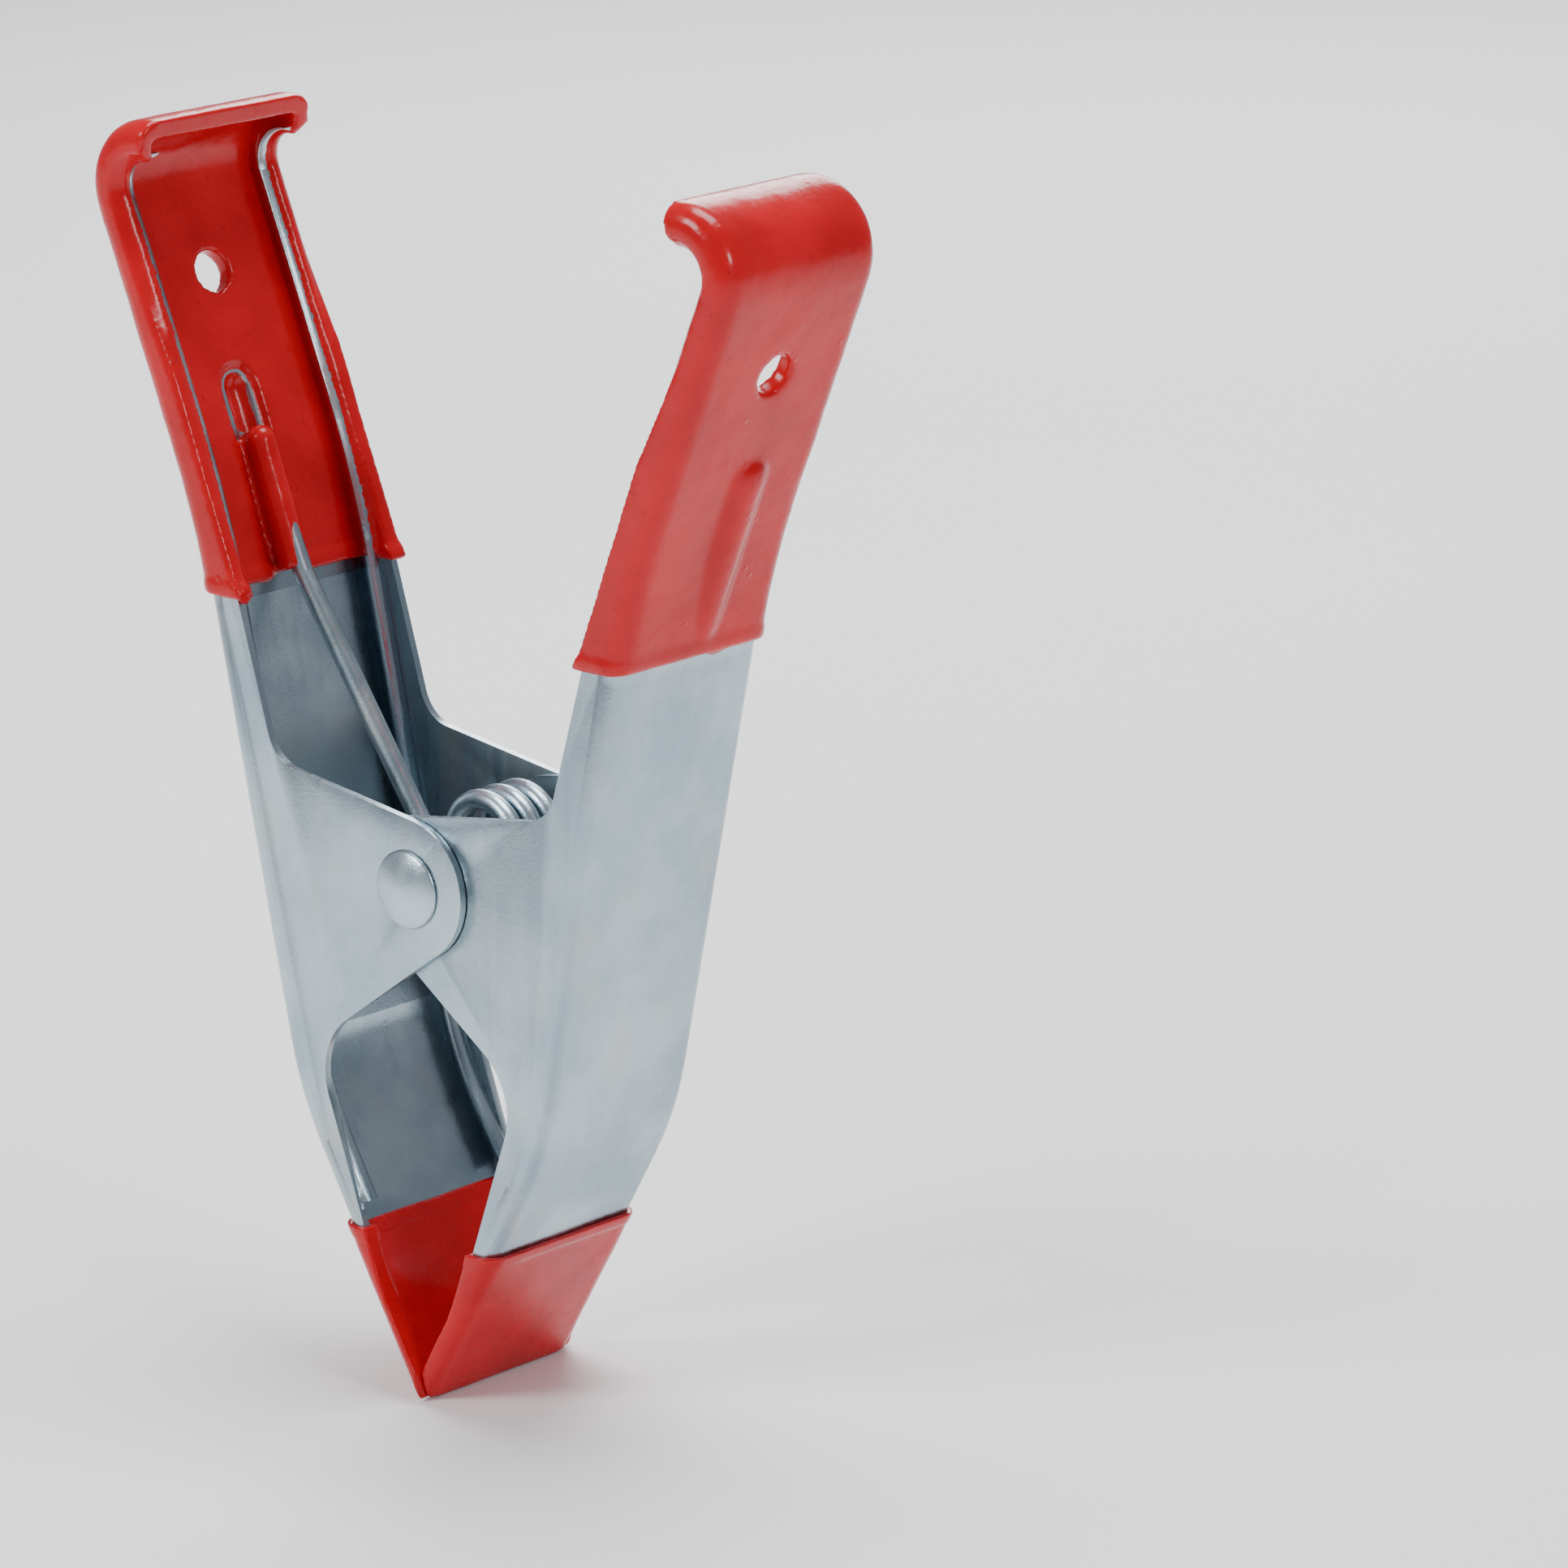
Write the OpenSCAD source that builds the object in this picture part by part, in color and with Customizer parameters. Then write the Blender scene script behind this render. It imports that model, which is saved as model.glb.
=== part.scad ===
// Metal A-type spring clamp, closed: jaw tips down on z = 0, handles up.
// X is the opening direction, Y runs along the rivet, the tips meet on x = 0.
// Both halves are drawn on the +X side, and the outer one is mirrored into place.

/* [Sheet metal] */
// Width over the outer half's ears
clamp_w = 28; // [26:0.5:30]
// Thickness of the steel sheet
sheet = 1.0; // [0.8:0.1:1.2]
// Outside radius of the long bends between web and flanges
bend_r = 2.0; // [1.9:0.1:2.3]
// Side gap between the outer and the inner ears
ear_gap = 0.1; // [0.05:0.05:0.2]

/* [Jaw and handle profile] */
// Lean of the jaw below the knee, degrees from upright
jaw_lean = 30; // [29:0.5:31]
// Lean of the stretch past the pivot
mid_lean = 12.1; // [11.9:0.1:12.3]
// Lean of the handle
grip_lean = 22.5; // [22:0.5:23.5]
// Height of the jaw's knee
knee_z = 35.5; // [35:0.5:36]
// Distance of the knee from the middle plane
knee_x = 20.4; // [20.2:0.1:20.8]
// Height of the bend under the grip
elbow_z = 106.4; // [105:0.5:108]
// Height at which the handle's end starts to curl inwards
curl_z = 143.6; // [142:0.5:145]
// Outside radius of the curled end
curl_r = 7.9; // [7:0.1:8.5]

/* [Pivot] */
// Height of the rivet
pivot_z = 65.8; // [65:0.2:66.6]
// Radius of the rivet's shank
pin_r = 2.4; // [2.2:0.1:2.6]
// Radius of the rivet's domed heads
head_r = 4.9; // [4.5:0.1:5.4]
// Radius of the ears round the rivet
ear_r = 8.8; // [8.4:0.1:9.2]
// Radial clearance of the inner ears on the shank
run_gap = 0.05; // [0.02:0.01:0.08]

/* [Spring] */
// Wire radius
wire_r = 1.3; // [1.1:0.05:1.35]
// Mean radius of the coil
coil_r = 6.1; // [6.05:0.05:6.3]
// Distance from turn to turn
coil_pitch = 3.3; // [2.9:0.1:3.4]
// Lean of the wire where it leaves the coil
leg_lean = 35.5; // [34.5:0.5:36]

/* [Vinyl] */
// Thickness of the dipped coat on the handles
coat = 0.7; // [0.5:0.1:0.8]
// Thickness of the dipped coat on the jaw tips
tip_coat = 0.65; // [0.5:0.05:0.7]
// Height of the grip's lower edge
grip_z = 97.8; // [96:0.2:100]
// Height of the tip coat's upper edge
tip_top_z = 20.6; // [19:0.2:22]
// Radius of the hanging hole
hole_r = 2.7; // [2.4:0.1:3]
// Height of the hanging hole
hole_z = 133.7; // [130:0.2:136]

/* [Hidden] */
$fn = 48;
steel = [0.66, 0.7, 0.74];
vinyl = [0.82, 0.12, 0.15];

inner_w = clamp_w - 2 * (sheet + ear_gap);
knee_r = 45;
elbow_r = 120;
curl_end = 97;             // angle at which the curled lip stops, past its top
leg_d = 2.6;               // least depth of the flanges, web included
overlap_d = 2.3;           // depth at which the flange plates start
tip_z = 2.2;               // where the steel ends inside the tip coat
tip_gap = 0.01;            // half the gap between the closed tips
lap = 0.1;                 // how far the straight stretches run into the bends
hair = 0.008;              // how much thicker they are, so that no two faces coincide
far = 60;

// Unit vectors up a stretch that leans by a, and out of its web
function up(a) = [sin(a), cos(a)];
function out(a) = [cos(a), -sin(a)];
// Distance from a corner to where its rounding starts
function setback(r, turn) = r * tan(turn / 2);
function at_z(p, a, z) = p + up(a) * ((z - p[1]) / cos(a));
// Points on an arc about c, from angle a to angle b
function arc(c, r, a, b, n = 6) = [for (i = [0:n]) c + r * [cos(a + (b - a) * i / n), sin(a + (b - a) * i / n)]];

knee = [knee_x, knee_z];
knee_lo = knee - up(jaw_lean) * setback(knee_r, jaw_lean - mid_lean);
knee_hi = knee + up(mid_lean) * setback(knee_r, jaw_lean - mid_lean);
knee_c = knee_lo - out(jaw_lean) * knee_r;
elbow = at_z(knee, mid_lean, elbow_z);
elbow_lo = elbow - up(mid_lean) * setback(elbow_r, grip_lean - mid_lean);
elbow_hi = elbow + up(grip_lean) * setback(elbow_r, grip_lean - mid_lean);
elbow_c = elbow_lo + out(mid_lean) * elbow_r;
curl = at_z(elbow, grip_lean, curl_z);
curl_c = curl - out(grip_lean) * curl_r;
tip = at_z(knee, jaw_lean, tip_z);
pivot = [0, pivot_z];

// Flange edges, as depths behind the outside of the web
jaw_depth = 3.1;           // where the tip coat ends
knee_depth = 5.6;          // just under the ear's hollow
neck_depth = 6.3;          // between ear and grip
grip_depth = [5.2, 4.0, 2.8];
grip_depth_z = [98, 122, 134];
ear_top_lean = 8.5;        // the ear's upper edge, degrees from level
ear_low_lean = 35.6;       // its lower edge
ear_top_r = 5.3;           // hollow between ear and neck
ear_low_r = 9;             // hollow between ear and jaw

// The pressed channel in the web that the wire's end lies in
trough_r = 3.1;
trough_y = 1.5;            // its offset from the middle, outer half's on -Y
trough_lo = at_z(elbow, mid_lean, 96) - out(mid_lean) * 3.6;
trough_hi = at_z(elbow, grip_lean, 120) - out(grip_lean) * 1.6;
steel_hole_r = hole_r + 0.6;
hole_p = at_z(elbow, grip_lean, hole_z);

// The spring: its coil hangs off centre, as its own push lifts it against the shank
coil_c = pivot + [0, coil_r - wire_r - pin_r - 0.2];
coil_y = -2.6;             // where the outer leg leaves the coil
half_turns = 7;
leg_bend_z = 98.5;         // where a leg bends to follow the handle
leg_end_z = 114.5;
shank_fit = 0.02;          // radial gap in the outer ears
head_h = 1.7;
head_rim = 0.4;
head_gap = 0.03;

// ---- strips swept along the profile ----

// Box with its two corners on x = 0 rounded, running back along -X
module backed_box(d, w, r) {
    translate([-d, -w / 2]) square([d - r, w]);
    translate([-d, -w / 2 + r]) square([d, w - 2 * r]);
    for (s = [-1, 1]) translate([-r, s * (w / 2 - r)]) circle(r);
}

// Channel section: web outside on x = 0, grown by e on every side
module channel(w, e, depth) {
    translate([e, 0]) difference() {
        backed_box(depth + 2 * e, w + 2 * e, bend_r + e);
        translate([-sheet - 2 * e, 0])
            backed_box(depth + 2 * e, w - 2 * sheet - 2 * e, max(bend_r - sheet - e, 0.2));
    }
}

module on_line(p, a, len) {
    translate([p[0], 0, p[1]]) rotate([0, a, 0]) linear_extrude(len) children();
}

module on_arc(c, r, a, b) {
    translate([c[0], 0, c[1]]) rotate([90, 0, 0]) rotate([0, 0, a])
        rotate_extrude(angle = b - a, $fn = 96) translate([r, 0]) children();
}

// A straight stretch from p to q, a hair thicker and longer than the bends that it laps into
module straight(w, e, p, q) {
    d = q - p;
    lean = atan2(d[0], d[1]);
    on_line(p - up(lean) * lap, lean, norm(d) + 2 * lap) channel(w, e + hair, leg_d);
}

// The section swept over the handle, to the curled end; extra lengthens the end
module swept_handle(w, e, extra = 0) {
    on_arc(elbow_c, elbow_r, 180 - grip_lean, 180 - mid_lean) mirror([1, 0]) channel(w, e, leg_d);
    straight(w, e, elbow_hi, curl);
    on_arc(curl_c, curl_r, -grip_lean, curl_end + extra * 180 / PI / curl_r) channel(w, e, leg_d);
}

// The section swept from the tip to the curled end
module swept(w) {
    straight(w, 0, tip, knee_lo);
    on_arc(knee_c, knee_r, -jaw_lean, -mid_lean) channel(w, 0, leg_d);
    straight(w, 0, knee_hi, elbow_lo);
    swept_handle(w, 0);
}

// ---- flanges and ears, drawn from the side ----

function behind(p, a, d) = p - out(a) * d;
jaw_edge = behind(at_z(knee, jaw_lean, tip_top_z + 0.5), jaw_lean, jaw_depth);
knee_edge = behind(at_z(knee, jaw_lean, 33), jaw_lean, knee_depth);
neck_edge = behind(at_z(knee, mid_lean, 84), mid_lean, neck_depth);
grip_edge = [for (i = [0:2]) behind(at_z(elbow, i == 0 ? mid_lean : grip_lean, grip_depth_z[i]),
    i == 0 ? mid_lean : grip_lean, grip_depth[i])];
back_line = concat([behind(at_z(knee, jaw_lean, tip_top_z - 1.7), jaw_lean, overlap_d)],
    arc(knee_c, knee_r - overlap_d, -jaw_lean, -mid_lean),
    arc(elbow_c, elbow_r + overlap_d, 180 - mid_lean, 180 - grip_lean),
    [behind(at_z(elbow, grip_lean, 134.2), grip_lean, overlap_d)]);

// Where the line through p along u meets the line through q along v
function meet(p, u, q, v) = p + u * (((q - p)[0] * v[1] - (q - p)[1] * v[0]) / (u[0] * v[1] - u[1] * v[0]));
top_dir = [cos(ear_top_lean), sin(ear_top_lean)];
low_dir = [cos(ear_low_lean), -sin(ear_low_lean)];
ear_top = pivot + ear_r * [-sin(ear_top_lean), cos(ear_top_lean)];
ear_low = pivot - ear_r * [sin(ear_low_lean), cos(ear_low_lean)];
neck_dir = (grip_edge[0] - neck_edge) / norm(grip_edge[0] - neck_edge);
jaw_dir = (knee_edge - jaw_edge) / norm(knee_edge - jaw_edge);
top_corner = meet(ear_top, top_dir, neck_edge, neck_dir);
low_corner = meet(ear_low, low_dir, jaw_edge, jaw_dir);

// The corner at p between the directions u and v, hollowed to radius r
function hollow(p, u, v, r) =
    let (half = acos(u * v) / 2, back = u + v, side = sign(u[0] * v[1] - u[1] * v[0]) * (90 - half))
    let (a = atan2(-back[1], -back[0]), c = p + back / norm(back) * (r / sin(half)))
    arc(c, r, a + side, a - side, 14);

module flange_side() {
    polygon(concat([jaw_edge - jaw_dir * 2.6], hollow(low_corner, -jaw_dir, -low_dir, ear_low_r), [ear_low, ear_top],
        hollow(top_corner, -top_dir, neck_dir, ear_top_r), grip_edge, [for (i = [len(back_line) - 1:-1:0]) back_line[i]]));
    translate(pivot) circle(ear_r, $fn = 96);
}

// Everything deeper than the flanges' edge line near the tip, grown by e
tip_depth = [1.05, 1.05, 1.3, 1.8, 2.6, 3.4];
tip_depth_z = [-4, 10.5, 12.7, 15.6, 19.6, 22];
module tip_trim(e) {
    edge = [for (i = [0:5]) behind(at_z(knee, jaw_lean, tip_depth_z[i]), jaw_lean, tip_depth[i] + e)];
    translate([0, far / 2, 0]) rotate([90, 0, 0]) linear_extrude(far)
        polygon(concat(edge, [[edge[5][0] - 12, edge[5][1]], [edge[0][0] - 12, edge[0][1]]]));
}

module plates(w, t) {
    for (s = [-1, 1]) translate([0, s * (w - t) / 2 + t / 2 - hair, 0])
        rotate([90, 0, 0]) linear_extrude(t - 2 * hair) children();
}

// Rod between two points
module rod(p, q, r) {
    d = q - p;
    translate(p) rotate([0, acos(d[2] / norm(d)), atan2(d[1], d[0])]) cylinder(h = norm(d), r = r);
}

function in_plane(p, y) = [p[0], y, p[1]];

// Pressed channel: a rod with a round top
module trough(y, r) {
    rod(in_plane(trough_lo, y), in_plane(trough_hi, y), r);
    translate(in_plane(trough_hi, y)) sphere(r);
}

// The layer from the middle of the web outwards, over the pressed channel's length
module outside_web() {
    inner = concat([behind(at_z(elbow, mid_lean, 90), mid_lean, sheet / 2)],
        arc(elbow_c, elbow_r + sheet / 2, 180 - mid_lean, 180 - grip_lean),
        [behind(at_z(elbow, grip_lean, 126), grip_lean, sheet / 2)]);
    translate([0, far / 2, 0]) rotate([90, 0, 0]) linear_extrude(far)
        polygon(concat(inner, [inner[8] + [8, -2], inner[0] + [8, -2]]));
}

module through_web(r) {
    translate(in_plane(hole_p, 0)) rotate([0, 90 + grip_lean, 0]) cylinder(h = 12, r = r, center = true);
}

module along_y(r, len) {
    translate(in_plane(pivot, len / 2)) rotate([90, 0, 0]) cylinder(h = len, r = r);
}

// ---- the sub-parts ----

// One stamped half, on the +X side: w over its ears, its channel at y
module steel_half(w, y, fit) {
    difference() {
        union() {
            difference() {
                swept(w);
                tip_trim(0);
            }
            plates(w, sheet) flange_side();
            intersection() {
                trough(y, trough_r);
                outside_web();
            }
        }
        trough(y, trough_r - sheet);
        through_web(steel_hole_r);
        along_y(pin_r + fit, clamp_w + 4);
    }
}

// Side view of the grip's flanges
module grip_side() {
    start = behind(at_z(knee, mid_lean, 95), mid_lean, neck_depth + coat);
    deeper = [for (i = [0:2]) grip_edge[i] - out(i == 0 ? mid_lean : grip_lean) * coat];
    polygon(concat([start], deeper, [for (i = [len(back_line) - 1:-1:7]) back_line[i]]));
}

// The steel that the grip wraps
module handle_core(w) {
    difference() {
        union() {
            swept_handle(w, 0);
            plates(w, sheet) flange_side();
        }
        through_web(steel_hole_r);
    }
}

module grip_half(w, y) {
    difference() {
        union() {
            swept_handle(w, coat, coat);
            plates(w + 2 * coat, sheet + 2 * coat) grip_side();
            intersection() {
                trough(y, trough_r + coat);
                outside_web();
            }
        }
        handle_core(w);
        trough(y, trough_r);
        through_web(hole_r);
        translate([-far / 2, -far / 2, -far]) cube([2 * far, far, far + grip_z]);
    }
}

module tip_half(w, y, fit) {
    difference() {
        straight(w, tip_coat, tip - up(jaw_lean) * 4, knee_lo);
        tip_trim(tip_coat);
        steel_half(w, y, fit);
        translate([-far, -far / 2, -far / 2]) cube([far + tip_gap, far, far]);
        translate([-far / 2, -far / 2, -far]) cube([2 * far, far, far]);
        translate([-far / 2, -far / 2, tip_top_z]) cube([2 * far, far, far]);
    }
}

module outer_jaw() {
    color(steel) mirror([1, 0, 0]) steel_half(clamp_w, -trough_y, shank_fit);
}

module inner_jaw() {
    color(steel) steel_half(inner_w, trough_y, run_gap);
}

module outer_grip() {
    color(vinyl) mirror([1, 0, 0]) grip_half(clamp_w, -trough_y);
}

module inner_grip() {
    color(vinyl) grip_half(inner_w, trough_y);
}

module outer_tip() {
    color(vinyl) mirror([1, 0, 0]) tip_half(clamp_w, -trough_y, shank_fit);
}

module inner_tip() {
    color(vinyl) tip_half(inner_w, trough_y, run_gap);
}

module rivet() {
    dome_r = (head_r * head_r + (head_h - head_rim) ^ 2) / (2 * (head_h - head_rim));
    color(steel) {
        along_y(pin_r, clamp_w + 2 * head_gap);
        for (s = [0, 1]) mirror([0, s, 0]) translate(in_plane(pivot, -clamp_w / 2 - head_gap)) rotate([90, 0, 0]) {
            cylinder(h = head_rim, r = head_r);
            intersection() {
                cylinder(h = head_h, r = head_r);
                translate([0, 0, head_h - dome_r]) sphere(dome_r, $fn = 96);
            }
        }
    }
}

// Half a turn of the coil, from angle a to b, level with y and tilted by its share of the pitch
module half_turn(y, tilt, a, b) {
    translate(in_plane(coil_c, y)) rotate([0, 0, tilt]) rotate([90, 0, 0]) rotate([0, 0, a])
        rotate_extrude(angle = b - a) translate([coil_r / cos(tilt), 0]) circle(wire_r);
}

// A leg from the coil up into its handle; side is -1 for the outer half
module leg(side, coil_end_y) {
    leave = coil_c + coil_r * [side * cos(leg_lean), -sin(leg_lean)];
    bend = leave + (leg_bend_z - leave[1]) * [side * tan(leg_lean), 1];
    axis = trough_hi - trough_lo;
    end = trough_lo + axis * (leg_end_z - trough_lo[1]) / axis[1];
    p = in_plane(leave, coil_end_y);
    q = in_plane(bend, side * trough_y);
    rod(p, q, wire_r);
    rod(q, [side * end[0], side * trough_y, end[1]], wire_r);
    for (c = [p, q]) translate(c) sphere(wire_r + 3 * hair);
}

module torsion_spring() {
    tilt = atan(coil_pitch / 4 / coil_r);
    settle = coil_pitch / 4 * (1 - cos(leg_lean));
    end_y = coil_y + half_turns * coil_pitch / 2;
    color(steel) {
        for (i = [0:half_turns - 1]) {
            low = i % 2 == 0;
            half_turn(coil_y + (i + 0.5) * coil_pitch / 2, low ? tilt : -tilt,
                (low ? 180 : 0) + (i == 0 ? leg_lean : 0), (low ? 360 : 180) - (i == half_turns - 1 ? leg_lean : 0));
        }
        for (i = [1:half_turns - 1])
            translate(in_plane(coil_c + [i % 2 == 0 ? -coil_r : coil_r, 0], coil_y + i * coil_pitch / 2))
                sphere(wire_r + 3 * hair);
        leg(-1, coil_y + settle);
        leg(1, end_y - settle);
    }
}

outer_jaw();
inner_jaw();
rivet();
torsion_spring();
outer_grip();
inner_grip();
outer_tip();
inner_tip();
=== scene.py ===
import math
import bpy
from mathutils import Vector, Matrix


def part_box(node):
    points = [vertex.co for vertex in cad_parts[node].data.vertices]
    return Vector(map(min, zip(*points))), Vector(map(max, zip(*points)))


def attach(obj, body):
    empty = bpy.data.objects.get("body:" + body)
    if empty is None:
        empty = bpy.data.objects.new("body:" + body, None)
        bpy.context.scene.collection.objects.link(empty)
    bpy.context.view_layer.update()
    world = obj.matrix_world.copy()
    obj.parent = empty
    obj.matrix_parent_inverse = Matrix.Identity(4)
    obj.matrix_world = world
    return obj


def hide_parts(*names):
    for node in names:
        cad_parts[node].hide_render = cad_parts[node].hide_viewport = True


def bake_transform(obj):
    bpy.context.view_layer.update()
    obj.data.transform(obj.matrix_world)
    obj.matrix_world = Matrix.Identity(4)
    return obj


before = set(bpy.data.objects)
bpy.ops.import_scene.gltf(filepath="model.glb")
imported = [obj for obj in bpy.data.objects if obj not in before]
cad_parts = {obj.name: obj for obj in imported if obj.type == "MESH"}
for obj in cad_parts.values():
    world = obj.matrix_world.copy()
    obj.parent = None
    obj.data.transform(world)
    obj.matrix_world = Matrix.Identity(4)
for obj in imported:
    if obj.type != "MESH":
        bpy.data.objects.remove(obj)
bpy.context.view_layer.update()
mm = 0.001

clamp = {  # the profile the halves are pressed to
    "pivotZ": 65.8 * mm, "knee": (20.4 * mm, 35.5 * mm), "elbowZ": 106.4 * mm,
    "midLean": math.radians(12.1), "gripLean": math.radians(22.5),
}


# the view
view = {"az": 43.8, "el": 15.3, "roll": -0.98, "distance": 0.8923, "target": (0, 0, 0.075),
        "lens": 167.6, "shiftX": 0.190, "shiftY": 0.0057}


def setCamera():
    az, el, roll = (math.radians(view[k]) for k in ("az", "el", "roll"))
    back = Vector((math.sin(az) * math.cos(el), -math.cos(az) * math.cos(el), math.sin(el)))
    right = Vector((math.cos(az), math.sin(az), 0))
    up = back.cross(right)
    camRight = math.cos(roll) * right + math.sin(roll) * up
    camUp = back.cross(camRight)
    bpy.ops.object.camera_add()
    cam = bpy.context.object
    cam.name = "viewCamera"
    turn = Matrix((camRight, camUp, back)).transposed().to_4x4()
    cam.matrix_world = Matrix.Translation(Vector(view["target"]) + back * view["distance"]) @ turn
    cam.data.lens = view["lens"]
    cam.data.sensor_width = 36
    cam.data.shift_x = view["shiftX"]
    cam.data.shift_y = view["shiftY"]
    cam.data.clip_start = 0.01
    bpy.context.scene.camera = cam


setCamera()
print("camera set")


# shader maths
class Sock:
    def __init__(self, tree, out):
        self.tree, self.out = tree, out

    def node(self, kind, settings=None, **values):
        made = self.tree.nodes.new(kind)
        for key, value in (settings or {}).items():
            setattr(made, key, value)
        for key, value in values.items():
            spot = made.inputs[int(key[1:]) if key[1:].isdigit() else key]  # i6 is input number 6
            if isinstance(value, Sock):
                self.tree.links.new(value.out, spot)
            else:
                spot.default_value = value
        return made

    def make(self, kind, settings=None, output=0, **values):
        return Sock(self.tree, self.node(kind, settings, **values).outputs[output])

    def sum(self, op, a, b=0.0):
        return self.make("ShaderNodeMath", {"operation": op}, i0=a, i1=b)

    def __add__(self, other):
        return self.sum("ADD", self, other)

    def __radd__(self, other):
        return self.sum("ADD", other, self)

    def __sub__(self, other):
        return self.sum("SUBTRACT", self, other)

    def __rsub__(self, other):
        return self.sum("SUBTRACT", other, self)

    def __mul__(self, other):
        return self.sum("MULTIPLY", self, other)

    def __rmul__(self, other):
        return self.sum("MULTIPLY", other, self)

    def ramp(self, low, high):
        return self.make("ShaderNodeMapRange", {"interpolation_type": "SMOOTHSTEP"}, i0=self, i1=low, i2=high)

    def mix(self, a, b):
        return self.make("ShaderNodeMix", {"data_type": "RGBA"}, output=2, i0=self, i6=a, i7=b)

    def noise(self, scale, detail, stretch=(1, 1, 1)):
        at = self.make("ShaderNodeMapping", i3=stretch, i0=self)
        return at.make("ShaderNodeTexNoise", i0=at, Scale=scale, Detail=detail, Roughness=0.55)


def newMaterial(name):
    mat = bpy.data.materials.new(name)
    mat.use_nodes = True
    tree = mat.node_tree
    shader = tree.nodes["Principled BSDF"]
    place = Sock(tree, tree.nodes.new("ShaderNodeTexCoord").outputs["Object"])
    return mat, tree, shader, place


def feed(tree, shader, **links):
    for key, value in links.items():
        tree.links.new(value.out, shader.inputs[key.replace("_", " ")])


zinc = {
    "pale": (0.44, 0.53, 0.57, 1), "blue": (0.31, 0.40, 0.46, 1), "warm": (0.50, 0.46, 0.42, 1),
    "green": (0.38, 0.46, 0.42, 1), "dark": (0.22, 0.25, 0.29, 1), "smooth": 0.17,
}


def zincMaterial(name, tint, smooth, grain):
    mat, tree, shader, at = newMaterial(name)
    blue, pale = (tuple(c * tint for c in zinc[shade][:3]) + (1,) for shade in ("blue", "pale"))
    cloud = at.noise(55, 4)
    patch = at.noise(120, 3, (1, 1, 0.5))
    streak = at.noise(700, 2, (1, 1, 0.06))
    speck = at.noise(2600, 2)
    colour = cloud.ramp(0.36, 0.62).mix(blue, pale)
    colour = (patch.ramp(0.55, 0.75) * 0.45).mix(colour, zinc["warm"])
    colour = (at.noise(80, 2, (0.6, 1, 1)).ramp(0.58, 0.74) * 0.35).mix(colour, zinc["green"])
    colour = (speck.ramp(0.62, 0.72) * 0.35).mix(colour, zinc["dark"])
    rough = smooth + (cloud * 0.10 + patch * 0.10 + streak.ramp(0.3, 0.7) * 0.08)
    height = streak * (0.25 * grain) + speck * (0.35 * grain) + cloud * 0.9
    bump = height.make("ShaderNodeBump", Strength=0.22, Distance=0.0005, Height=height)
    feed(tree, shader, Base_Color=colour, Roughness=rough, Normal=bump)
    shader.inputs["Metallic"].default_value = 1.0
    return mat


vinyl = {"deep": (0.44, 0.0012, 0.005, 1), "bright": (0.56, 0.002, 0.008, 1), "speck": (0.2, 0.001, 0.003, 1),
         "smooth": 0.17}


def vinylMaterial(name):
    mat, tree, shader, at = newMaterial(name)
    cloud = at.noise(90, 3)
    fine = at.noise(900, 2)
    dots = at.make("ShaderNodeTexVoronoi", Vector=at, Scale=420.0)
    colour = cloud.ramp(0.3, 0.7).mix(vinyl["deep"], vinyl["bright"])
    colour = (fine.ramp(0.64, 0.74) * 0.3).mix(colour, vinyl["speck"])
    rough = vinyl["smooth"] + (cloud * 0.08 + fine.ramp(0.45, 0.75) * 0.10)
    pimple = dots.ramp(0.22, 0.05) * at.noise(150, 1).ramp(0.55, 0.66)
    height = fine * 0.22 + cloud * 0.9 + pimple * 0.5
    bump = height.make("ShaderNodeBump", Strength=0.3, Distance=0.0005, Height=height)
    feed(tree, shader, Base_Color=colour, Roughness=rough, Normal=bump)
    shader.inputs["IOR"].default_value = 1.46
    shader.inputs["Specular IOR Level"].default_value = 0.3
    shader.inputs["Coat Weight"].default_value = 0.08
    shader.inputs["Coat Roughness"].default_value = 0.08
    return mat


steelSkin = zincMaterial("zincPlate", 1.0, zinc["smooth"], 0.5)
# cut-edge zinc is the plate zinc painted 1.35 times brighter: a painted highlight along the sheet edges
steelEdgeHighlight = zincMaterial("zincCutEdgePaintedHighlight", 1.35, 0.20, 1.2)
rivetSkin = zincMaterial("zincRivet", 1.1, 0.22, 0.8)
wireSkin = zincMaterial("zincWire", 1.05, 0.20, 0.9)
redSkin = vinylMaterial("dippedVinyl")
print("materials made")


# helpers for modelling
def pick(obj):
    if bpy.context.object and bpy.context.object.mode != "OBJECT":
        bpy.ops.object.mode_set(mode="OBJECT")
    bpy.ops.object.select_all(action="DESELECT")
    obj.select_set(True)
    bpy.context.view_layer.objects.active = obj
    return obj


def copyOf(node, name):
    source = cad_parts[node]
    piece = source.copy()
    piece.data = source.data.copy()
    for key in list(piece.keys()):
        del piece[key]
    piece.parent = None
    piece.matrix_world = Matrix.Identity(4)
    bpy.context.scene.collection.objects.link(piece)
    piece.name = piece.data.name = name
    piece.hide_render = False
    piece.hide_viewport = False
    pick(piece)
    piece.data.materials.clear()
    bpy.ops.object.mode_set(mode="EDIT")
    bpy.ops.mesh.select_all(action="SELECT")
    bpy.ops.mesh.remove_doubles(threshold=1e-6)
    bpy.ops.object.mode_set(mode="OBJECT")
    return piece


def cut(piece, height, keep):
    pick(piece)
    bpy.ops.object.mode_set(mode="EDIT")
    bpy.ops.mesh.select_all(action="SELECT")
    bpy.ops.mesh.bisect(plane_co=(0, 0, height), plane_no=(0, 0, 1), use_fill=True,
                        clear_inner=keep == "above", clear_outer=keep == "below")
    bpy.ops.object.mode_set(mode="OBJECT")


def modify(piece, kind, **settings):
    pick(piece)
    mod = piece.modifiers.new(kind.lower(), kind)
    for key, value in settings.items():
        setattr(mod, key, value)
    bpy.ops.object.modifier_apply(modifier=mod.name)


def join(first, *others):
    pick(first)
    for o in others:
        o.select_set(True)
    bpy.ops.object.join()
    return first


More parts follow.
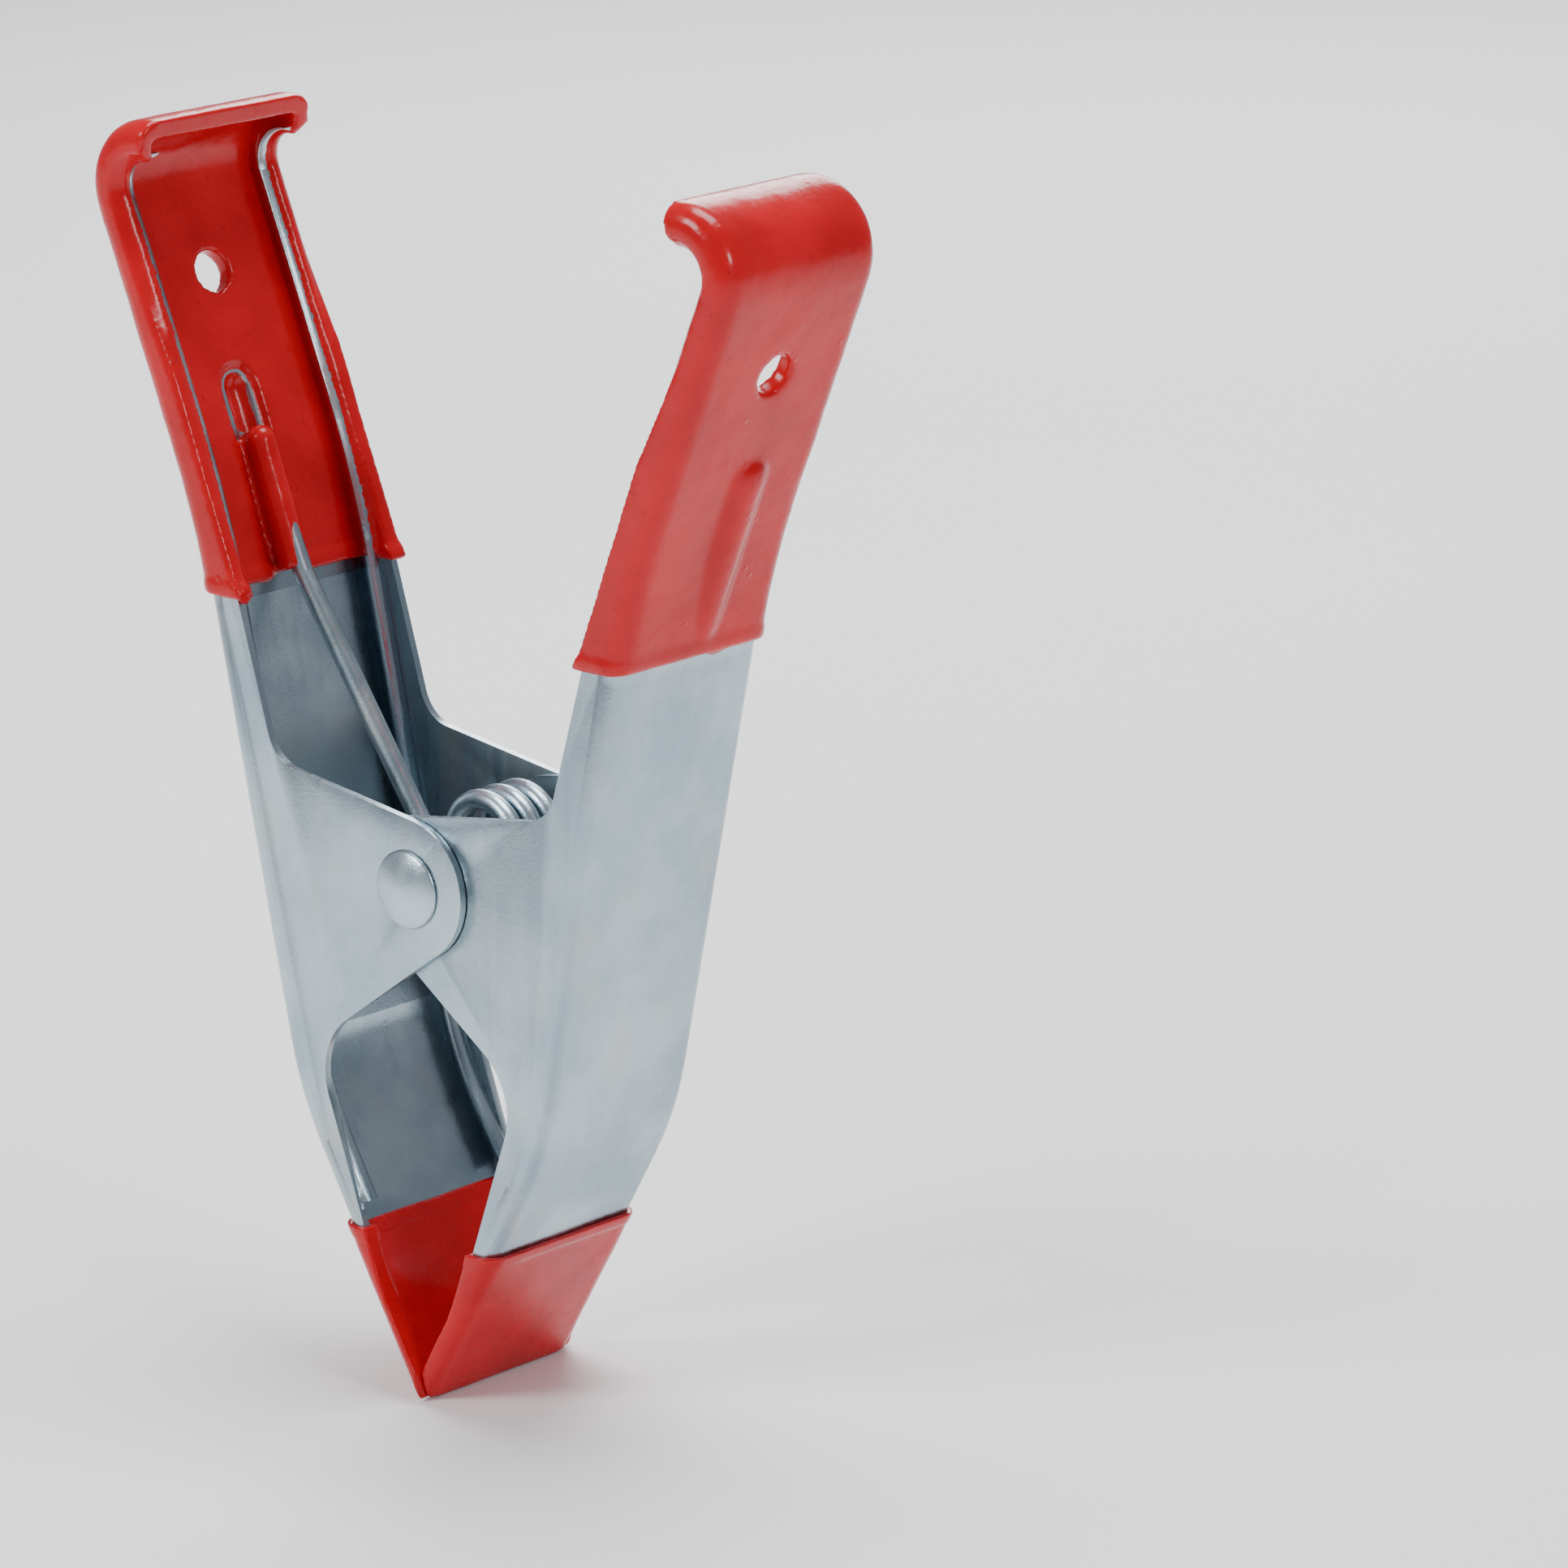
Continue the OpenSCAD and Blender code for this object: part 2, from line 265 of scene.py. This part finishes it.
def settle(piece):
    pick(piece)
    bpy.ops.object.transform_apply(location=True, rotation=True, scale=True)
    return piece


def rodBetween(name, p, q, r, sides=24):
    p, q = Vector(p), Vector(q)
    bpy.ops.object.select_all(action="DESELECT")
    bpy.ops.mesh.primitive_cylinder_add(vertices=sides, radius=r, depth=(q - p).length, location=(p + q) / 2)
    rod = bpy.context.object
    rod.name = name
    rod.rotation_euler = (q - p).to_track_quat("Z", "Y").to_euler()
    return settle(rod)


def ball(at, size):
    bpy.ops.object.select_all(action="DESELECT")
    bpy.ops.mesh.primitive_uv_sphere_add(segments=24, ring_count=14, radius=1, location=at, scale=size)
    return settle(bpy.context.object)


def paint(piece, *mats):
    piece.data.materials.clear()
    for m in mats:
        piece.data.materials.append(m)


def smoothAll(piece, angle=180):
    pick(piece)
    if angle >= 180:
        bpy.ops.object.shade_smooth()
    else:
        bpy.ops.object.shade_smooth_by_angle(angle=math.radians(angle))


def finishPiece(piece, node, body):
    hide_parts(node)
    if body:
        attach(piece, body)


# steel halves: flat faces made whole again, then every sheet edge broken a little and given a painted
# highlight
steel = {"edge": 0.13 * mm, "flat": math.radians(0.4), "sharp": math.radians(50)}


def steelHalf(node, body):
    piece = copyOf(node, node + "Steel")
    modify(piece, "DECIMATE", decimate_type="DISSOLVE", angle_limit=steel["flat"])
    paint(piece, steelSkin, steelEdgeHighlight)
    # the bevel faces take the second slot, the brighter zinc, so every sheet edge carries a painted highlight
    modify(piece, "BEVEL", width=steel["edge"], segments=2, limit_method="ANGLE",
           angle_limit=steel["sharp"], material=1)
    smoothAll(piece, 28)
    finishPiece(piece, node, body)


steelHalf("outer_jaw", "outer_half")
steelHalf("inner_jaw", "inner_half")
print("steel halves made")


# vinyl grips
grip = {"voxel": 0.42 * mm, "wave": 0.22 * mm, "lip": 0.30 * mm, "lipTall": 1.3 * mm, "coreGap": 0.4 * mm,
        "wireR": 1.3 * mm, "wireCoat": 0.75 * mm, "troughY": 1.5 * mm,
        "coatLow": 98.9 * mm, "coatHigh": 114.2 * mm, "coatLowIn": 3.4 * mm, "coatHighIn": 2.6 * mm,
        "waveSize": 0.006, "waveStep": 0.0007,
        "drip": (0.8 * mm, 0.75 * mm, 1.5 * mm), "dripIn": 6.0 * mm,
        "tear": (0.8 * mm, 2.2 * mm, 1.1 * mm), "tearIn": 0.4 * mm, "tearY": 4.5 * mm}


def webX(z):  # how far out the web is at height z
    kneeX, kneeZ = clamp["knee"]
    low = min(z, clamp["elbowZ"])
    x = kneeX + math.tan(clamp["midLean"]) * (low - kneeZ)
    return x + math.tan(clamp["gripLean"]) * max(0.0, z - clamp["elbowZ"])


def dipped(piece, name, voxel, seed, passes):  # everything in the piece melts into one soft-edged skin
    piece.name = piece.data.name = name
    modify(piece, "REMESH", mode="VOXEL", voxel_size=voxel, use_smooth_shade=True)
    modify(piece, "SMOOTH", factor=0.5, iterations=passes)
    tex = bpy.data.textures.new(name + "Wave", "CLOUDS")
    tex.noise_scale = grip["waveSize"] + grip["waveStep"] * seed
    modify(piece, "DISPLACE", texture=tex, strength=grip["wave"], mid_level=0.5, texture_coords="LOCAL")
    paint(piece, redSkin)
    smoothAll(piece)


def swollenLip(node, height, keep, swell):
    lip = copyOf(node, "lip")
    cut(lip, height, keep)
    modify(lip, "DISPLACE", strength=swell, mid_level=0.0)
    return lip


def vinylGrip(node, jaw, body, side, seed, dripY):
    g = grip
    piece = copyOf(node, node + "Vinyl")
    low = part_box(node)[0][2]
    core = copyOf(jaw, "core")
    cut(core, low + g["coreGap"], "above")
    lip = swollenLip(node, low + g["lipTall"], "below", g["lip"])
    y = side * g["troughY"]
    coatR = g["wireR"] + g["wireCoat"]
    top = (side * (webX(g["coatHigh"]) - g["coatHighIn"]), y, g["coatHigh"])
    wire = rodBetween("wireCoat", (side * (webX(g["coatLow"]) - g["coatLowIn"]), y, g["coatLow"]), top, coatR)
    cap = ball(top, (coatR, coatR, coatR))
    drip = ball((side * (webX(low) - g["dripIn"]), dripY, low + 0.3 * mm), g["drip"])
    tear = ball((side * (webX(low) - g["tearIn"]), side * g["tearY"], low + 0.2 * mm), g["tear"])
    join(piece, core, lip, wire, cap, drip, tear)
    dipped(piece, node + "Vinyl", g["voxel"], seed, 5)
    finishPiece(piece, node, body)


vinylGrip("outer_grip", "outer_jaw", "outer_half", -1, 1, -13.3 * mm)
vinylGrip("inner_grip", "inner_jaw", "inner_half", 1, 2, 12.3 * mm)
print("grips made")


# vinyl tips
tip = {"voxel": 0.22 * mm, "lip": 0.16 * mm, "lipTall": 1.2 * mm, "coreGap": 0.5 * mm}


def vinylTip(node, jaw, body, seed):
    piece = copyOf(node, node + "Vinyl")
    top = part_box(node)[1][2]
    core = copyOf(jaw, "core")
    cut(core, top - tip["coreGap"], "below")
    lip = swollenLip(node, top - tip["lipTall"], "above", tip["lip"])
    join(piece, core, lip)
    dipped(piece, node + "Vinyl", tip["voxel"], seed, 4)
    finishPiece(piece, node, body)


vinylTip("outer_tip", "outer_jaw", "outer_half", 3)
vinylTip("inner_tip", "inner_jaw", "inner_half", 4)
print("tips made")


# rivet
rivet = {"edge": 0.25 * mm, "sharp": math.radians(40)}


def makeRivet():
    piece = copyOf("rivet", "domedRivet")
    modify(piece, "BEVEL", width=rivet["edge"], segments=3, limit_method="ANGLE", angle_limit=rivet["sharp"])
    paint(piece, rivetSkin)
    smoothAll(piece, 40)
    finishPiece(piece, "rivet", "outer_half")


makeRivet()
print("rivet made")


# torsion spring
spring = {"wireR": 1.3 * mm, "coilR": 6.1 * mm, "pitch": 3.3 * mm, "coilZ": 68.0 * mm, "startY": -2.6 * mm,
          "halfTurns": 7, "lean": math.radians(35.5), "bendZ": 98.5 * mm, "endZ": 113.5 * mm,
          "coilSteps": 168, "sides": 28}


def coilPoint(a):  # a runs from the outer leg, under the pin, and round towards the back
    s = spring
    return Vector((-s["coilR"] * math.cos(a), s["startY"] + s["pitch"] * a / (2 * math.pi),
                   s["coilZ"] - s["coilR"] * math.sin(a)))


def makeCoil():
    s = spring
    a0, a1 = s["lean"], s["halfTurns"] * math.pi - s["lean"]
    start = coilPoint(a0)
    bpy.ops.object.select_all(action="DESELECT")
    bpy.ops.mesh.primitive_circle_add(vertices=s["sides"], radius=s["wireR"], fill_type="NGON",
                                      location=(-s["coilR"], 0, 0))
    ring = bpy.context.object
    settle(ring)
    ring.rotation_euler = (0, -a0, 0)
    settle(ring)
    ring.location = (0, start.y, s["coilZ"])
    bpy.context.view_layer.update()
    pick(ring)
    turns = a1 - a0
    mod = ring.modifiers.new("coil", "SCREW")
    mod.axis = "Y"
    mod.angle = -turns
    mod.screw_offset = s["pitch"] * turns / (2 * math.pi)
    mod.steps = mod.render_steps = s["coilSteps"]
    mod.use_merge_vertices = False
    bpy.ops.object.modifier_apply(modifier=mod.name)
    settle(ring)
    ring.name = ring.data.name = "springCoil"
    bpy.ops.object.mode_set(mode="EDIT")
    bpy.ops.mesh.select_all(action="SELECT")
    bpy.ops.mesh.fill_holes(sides=0)
    bpy.ops.mesh.select_all(action="SELECT")
    bpy.ops.mesh.normals_make_consistent(inside=False)
    bpy.ops.object.mode_set(mode="OBJECT")
    return ring, coilPoint(a0), coilPoint(a1)


def makeLeg(name, foot, side):
    s = spring
    rise = s["bendZ"] - foot.z
    bend = Vector((foot.x + side * math.tan(s["lean"]) * rise, side * grip["troughY"], s["bendZ"]))
    end = Vector((side * (webX(s["endZ"]) - grip["coatHighIn"]), side * grip["troughY"], s["endZ"]))
    leg = rodBetween(name, foot, bend, s["wireR"], s["sides"])
    upper = rodBetween("upper", bend, end, s["wireR"], s["sides"])
    elbow = ball(bend, (s["wireR"],) * 3)
    heel = ball(foot, (s["wireR"],) * 3)
    return join(leg, upper, elbow, heel)


coil, outerFoot, innerFoot = makeCoil()
outerLeg = makeLeg("springOuterLeg", outerFoot, -1)
innerLeg = makeLeg("springInnerLeg", innerFoot, 1)
for piece, body in ((coil, None), (outerLeg, "outer_half"), (innerLeg, "inner_half")):
    paint(piece, wireSkin)
    smoothAll(piece, 60)
    finishPiece(piece, "torsion_spring", body)
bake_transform(coil)
print("spring made")


# floor and light
studio = {"floor": (0.93, 0.93, 0.93, 1), "world": (0.88, 0.92, 1.0, 1), "worldPower": 0.36}


def makeStudio():
    bpy.ops.object.select_all(action="DESELECT")
    bpy.ops.mesh.primitive_plane_add(size=6, location=(0, 0, -0.0003))
    floor = bpy.context.object
    floor.name = "floor"
    mat, tree, shader, at = newMaterial("paleFloor")
    tone = at.noise(3, 2).ramp(0.3, 0.7).mix(studio["floor"], (0.95, 0.95, 0.95, 1))
    feed(tree, shader, Base_Color=tone)
    shader.inputs["Roughness"].default_value = 0.85
    shader.inputs["Specular IOR Level"].default_value = 0.1
    paint(floor, mat)
    world = bpy.data.worlds.new("studioWorld")
    bpy.context.scene.world = world
    world.use_nodes = True
    back = world.node_tree.nodes["Background"]
    back.inputs[0].default_value = studio["world"]
    back.inputs[1].default_value = studio["worldPower"]
    lights = (("keyLight", (-0.35, -0.95, 0.85), 0.4, 9), ("sideLight", (1.2, -0.15, 0.75), 0.25, 4.5),
              ("topLight", (-0.05, 0.25, 1.2), 0.6, 15), ("backLight", (-0.6, 0.9, 0.6), 0.5, 6))
    for name, at, size, power in lights:
        bpy.ops.object.light_add(type="AREA", location=at)
        lamp = bpy.context.object
        lamp.name = name
        lamp.data.size = size
        lamp.data.energy = power
        lamp.rotation_euler = (Vector(at) - Vector((0, 0, 0.08))).to_track_quat("Z", "Y").to_euler()


makeStudio()
print("studio made")
